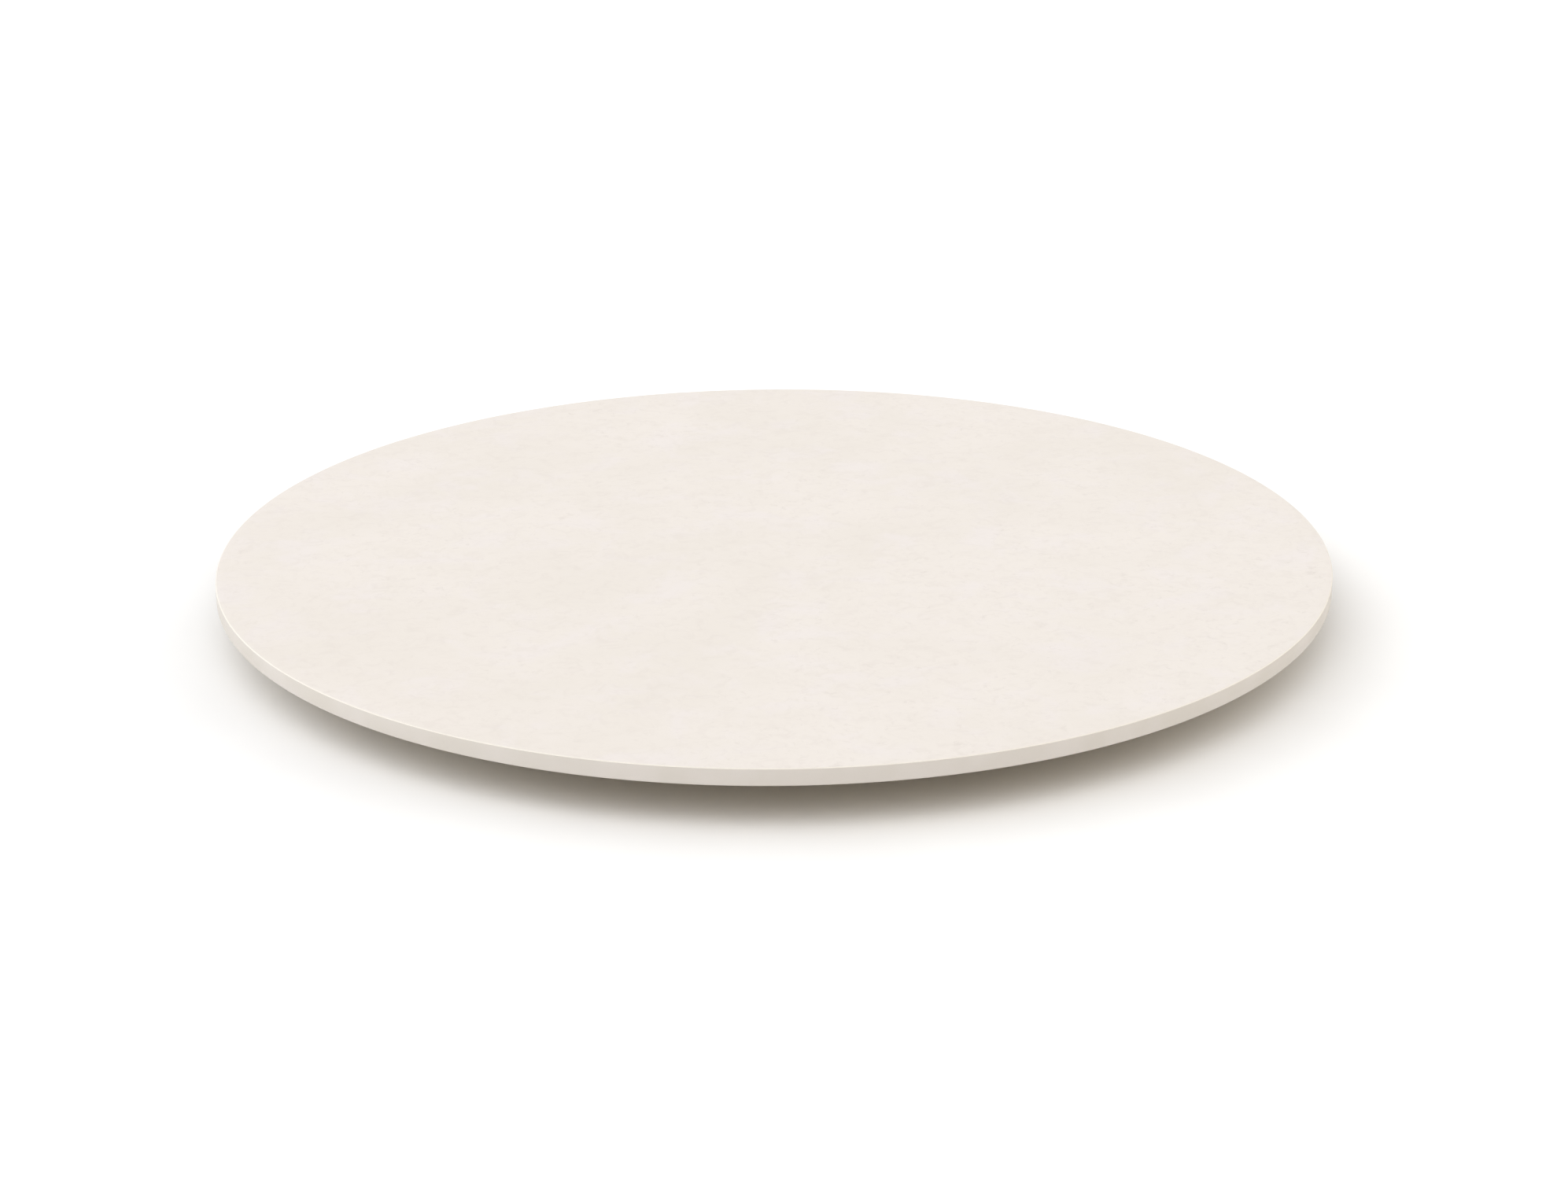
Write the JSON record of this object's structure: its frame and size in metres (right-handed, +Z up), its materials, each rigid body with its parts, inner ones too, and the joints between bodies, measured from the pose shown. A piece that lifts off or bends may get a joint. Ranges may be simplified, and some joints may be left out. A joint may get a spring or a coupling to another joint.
{
  "type": "lazy susan turntable",
  "caption": "Large round stone turntable for a dining table: a thin disc that spins on a ring ball bearing over a low round base.",
  "frame": {"origin": "on the spin axis, at the level of the table that the feet stand on", "axes": "+Z up along the spin axis; +Y to the back; +X to the right"},
  "size_m": [0.8, 0.8, 0.045],
  "materials": {
    "stone": "matte",
    "brass": "machined",
    "race_aluminium": "turned",
    "screw_steel": "zinc plated",
    "cage_nylon": "moulded",
    "ball_steel": "polished",
    "base_wood": "black satin lacquer",
    "foot_rubber": "matte"
  },
  "bodies": {
    "base": {"base_disc": "base_wood", "outer_race": "race_aluminium", "loading_hole_screw": "screw_steel", "race_screw_1": "screw_steel", "race_screw_2": "screw_steel", "race_screw_3": "screw_steel", "race_screw_4": "screw_steel", "race_screw_5": "screw_steel", "race_screw_6": "screw_steel", "foot_1": "foot_rubber", "foot_2": "foot_rubber", "foot_3": "foot_rubber", "foot_4": "foot_rubber", "foot_5": "foot_rubber", "foot_6": "foot_rubber", "foot_screw_1": "screw_steel", "foot_screw_2": "screw_steel", "foot_screw_3": "screw_steel", "foot_screw_4": "screw_steel", "foot_screw_5": "screw_steel", "foot_screw_6": "screw_steel"},
    "turntable": {"serving_disc": "stone", "inner_race": "race_aluminium", "threaded_insert_1": "brass", "threaded_insert_2": "brass", "threaded_insert_3": "brass", "threaded_insert_4": "brass", "threaded_insert_5": "brass", "threaded_insert_6": "brass", "disc_screw_1": "screw_steel", "disc_screw_2": "screw_steel", "disc_screw_3": "screw_steel", "disc_screw_4": "screw_steel", "disc_screw_5": "screw_steel", "disc_screw_6": "screw_steel"},
    "cage": {"ball_cage": "cage_nylon"},
    "ball_01": {"ball_01": "ball_steel"},
    "ball_02": {"ball_02": "ball_steel"},
    "ball_03": {"ball_03": "ball_steel"},
    "ball_04": {"ball_04": "ball_steel"},
    "ball_05": {"ball_05": "ball_steel"},
    "ball_06": {"ball_06": "ball_steel"},
    "ball_07": {"ball_07": "ball_steel"},
    "ball_08": {"ball_08": "ball_steel"},
    "ball_09": {"ball_09": "ball_steel"},
    "ball_10": {"ball_10": "ball_steel"},
    "ball_11": {"ball_11": "ball_steel"},
    "ball_12": {"ball_12": "ball_steel"},
    "ball_13": {"ball_13": "ball_steel"},
    "ball_14": {"ball_14": "ball_steel"},
    "ball_15": {"ball_15": "ball_steel"},
    "ball_16": {"ball_16": "ball_steel"},
    "ball_17": {"ball_17": "ball_steel"},
    "ball_18": {"ball_18": "ball_steel"},
    "ball_19": {"ball_19": "ball_steel"},
    "ball_20": {"ball_20": "ball_steel"}
  },
  "joints": [
    {"name": "turntable_spin", "type": "hinge", "parent": "base", "child": "turntable", "pos_m": [0, 0, 0.027], "axis": [0, 0, 1], "continuous": true},
    {"name": "cage_orbit", "type": "hinge", "parent": "base", "child": "cage", "pos_m": [0, 0, 0.027], "axis": [0, 0, 1], "continuous": true},
    {"name": "ball_01_roll", "type": "hinge", "parent": "cage", "child": "ball_01", "pos_m": [0.18, 0, 0.027], "axis": [0.7071, 0, 0.7071], "continuous": true},
    {"name": "ball_02_roll", "type": "hinge", "parent": "cage", "child": "ball_02", "pos_m": [0.17119, 0.05562, 0.027], "axis": [0.6725, 0.2185, 0.7071], "continuous": true},
    {"name": "ball_03_roll", "type": "hinge", "parent": "cage", "child": "ball_03", "pos_m": [0.14562, 0.1058, 0.027], "axis": [0.5721, 0.4156, 0.7071], "continuous": true},
    {"name": "ball_04_roll", "type": "hinge", "parent": "cage", "child": "ball_04", "pos_m": [0.1058, 0.14562, 0.027], "axis": [0.4156, 0.5721, 0.7071], "continuous": true},
    {"name": "ball_05_roll", "type": "hinge", "parent": "cage", "child": "ball_05", "pos_m": [0.05562, 0.17119, 0.027], "axis": [0.2185, 0.6725, 0.7071], "continuous": true},
    {"name": "ball_06_roll", "type": "hinge", "parent": "cage", "child": "ball_06", "pos_m": [0, 0.18, 0.027], "axis": [0, 0.7071, 0.7071], "continuous": true},
    {"name": "ball_07_roll", "type": "hinge", "parent": "cage", "child": "ball_07", "pos_m": [-0.05562, 0.17119, 0.027], "axis": [-0.2185, 0.6725, 0.7071], "continuous": true},
    {"name": "ball_08_roll", "type": "hinge", "parent": "cage", "child": "ball_08", "pos_m": [-0.1058, 0.14562, 0.027], "axis": [-0.4156, 0.5721, 0.7071], "continuous": true},
    {"name": "ball_09_roll", "type": "hinge", "parent": "cage", "child": "ball_09", "pos_m": [-0.14562, 0.1058, 0.027], "axis": [-0.5721, 0.4156, 0.7071], "continuous": true},
    {"name": "ball_10_roll", "type": "hinge", "parent": "cage", "child": "ball_10", "pos_m": [-0.17119, 0.05562, 0.027], "axis": [-0.6725, 0.2185, 0.7071], "continuous": true},
    {"name": "ball_11_roll", "type": "hinge", "parent": "cage", "child": "ball_11", "pos_m": [-0.18, 0, 0.027], "axis": [-0.7071, 0, 0.7071], "continuous": true},
    {"name": "ball_12_roll", "type": "hinge", "parent": "cage", "child": "ball_12", "pos_m": [-0.17119, -0.05562, 0.027], "axis": [-0.6725, -0.2185, 0.7071], "continuous": true},
    {"name": "ball_13_roll", "type": "hinge", "parent": "cage", "child": "ball_13", "pos_m": [-0.14562, -0.1058, 0.027], "axis": [-0.5721, -0.4156, 0.7071], "continuous": true},
    {"name": "ball_14_roll", "type": "hinge", "parent": "cage", "child": "ball_14", "pos_m": [-0.1058, -0.14562, 0.027], "axis": [-0.4156, -0.5721, 0.7071], "continuous": true},
    {"name": "ball_15_roll", "type": "hinge", "parent": "cage", "child": "ball_15", "pos_m": [-0.05562, -0.17119, 0.027], "axis": [-0.2185, -0.6725, 0.7071], "continuous": true},
    {"name": "ball_16_roll", "type": "hinge", "parent": "cage", "child": "ball_16", "pos_m": [0, -0.18, 0.027], "axis": [0, -0.7071, 0.7071], "continuous": true},
    {"name": "ball_17_roll", "type": "hinge", "parent": "cage", "child": "ball_17", "pos_m": [0.05562, -0.17119, 0.027], "axis": [0.2185, -0.6725, 0.7071], "continuous": true},
    {"name": "ball_18_roll", "type": "hinge", "parent": "cage", "child": "ball_18", "pos_m": [0.1058, -0.14562, 0.027], "axis": [0.4156, -0.5721, 0.7071], "continuous": true},
    {"name": "ball_19_roll", "type": "hinge", "parent": "cage", "child": "ball_19", "pos_m": [0.14562, -0.1058, 0.027], "axis": [0.5721, -0.4156, 0.7071], "continuous": true},
    {"name": "ball_20_roll", "type": "hinge", "parent": "cage", "child": "ball_20", "pos_m": [0.17119, -0.05562, 0.027], "axis": [0.6725, -0.2185, 0.7071], "continuous": true}
  ],
  "couplings": [
    {"joint": "cage_orbit", "follows": "turntable_spin", "ratio": 0.49411},
    {"joint": "ball_01_roll", "follows": "turntable_spin", "ratio": -29.996},
    {"joint": "ball_02_roll", "follows": "turntable_spin", "ratio": -29.996},
    {"joint": "ball_03_roll", "follows": "turntable_spin", "ratio": -29.996},
    {"joint": "ball_04_roll", "follows": "turntable_spin", "ratio": -29.996},
    {"joint": "ball_05_roll", "follows": "turntable_spin", "ratio": -29.996},
    {"joint": "ball_06_roll", "follows": "turntable_spin", "ratio": -29.996},
    {"joint": "ball_07_roll", "follows": "turntable_spin", "ratio": -29.996},
    {"joint": "ball_08_roll", "follows": "turntable_spin", "ratio": -29.996},
    {"joint": "ball_09_roll", "follows": "turntable_spin", "ratio": -29.996},
    {"joint": "ball_10_roll", "follows": "turntable_spin", "ratio": -29.996},
    {"joint": "ball_11_roll", "follows": "turntable_spin", "ratio": -29.996},
    {"joint": "ball_12_roll", "follows": "turntable_spin", "ratio": -29.996},
    {"joint": "ball_13_roll", "follows": "turntable_spin", "ratio": -29.996},
    {"joint": "ball_14_roll", "follows": "turntable_spin", "ratio": -29.996},
    {"joint": "ball_15_roll", "follows": "turntable_spin", "ratio": -29.996},
    {"joint": "ball_16_roll", "follows": "turntable_spin", "ratio": -29.996},
    {"joint": "ball_17_roll", "follows": "turntable_spin", "ratio": -29.996},
    {"joint": "ball_18_roll", "follows": "turntable_spin", "ratio": -29.996},
    {"joint": "ball_19_roll", "follows": "turntable_spin", "ratio": -29.996},
    {"joint": "ball_20_roll", "follows": "turntable_spin", "ratio": -29.996}
  ]
}
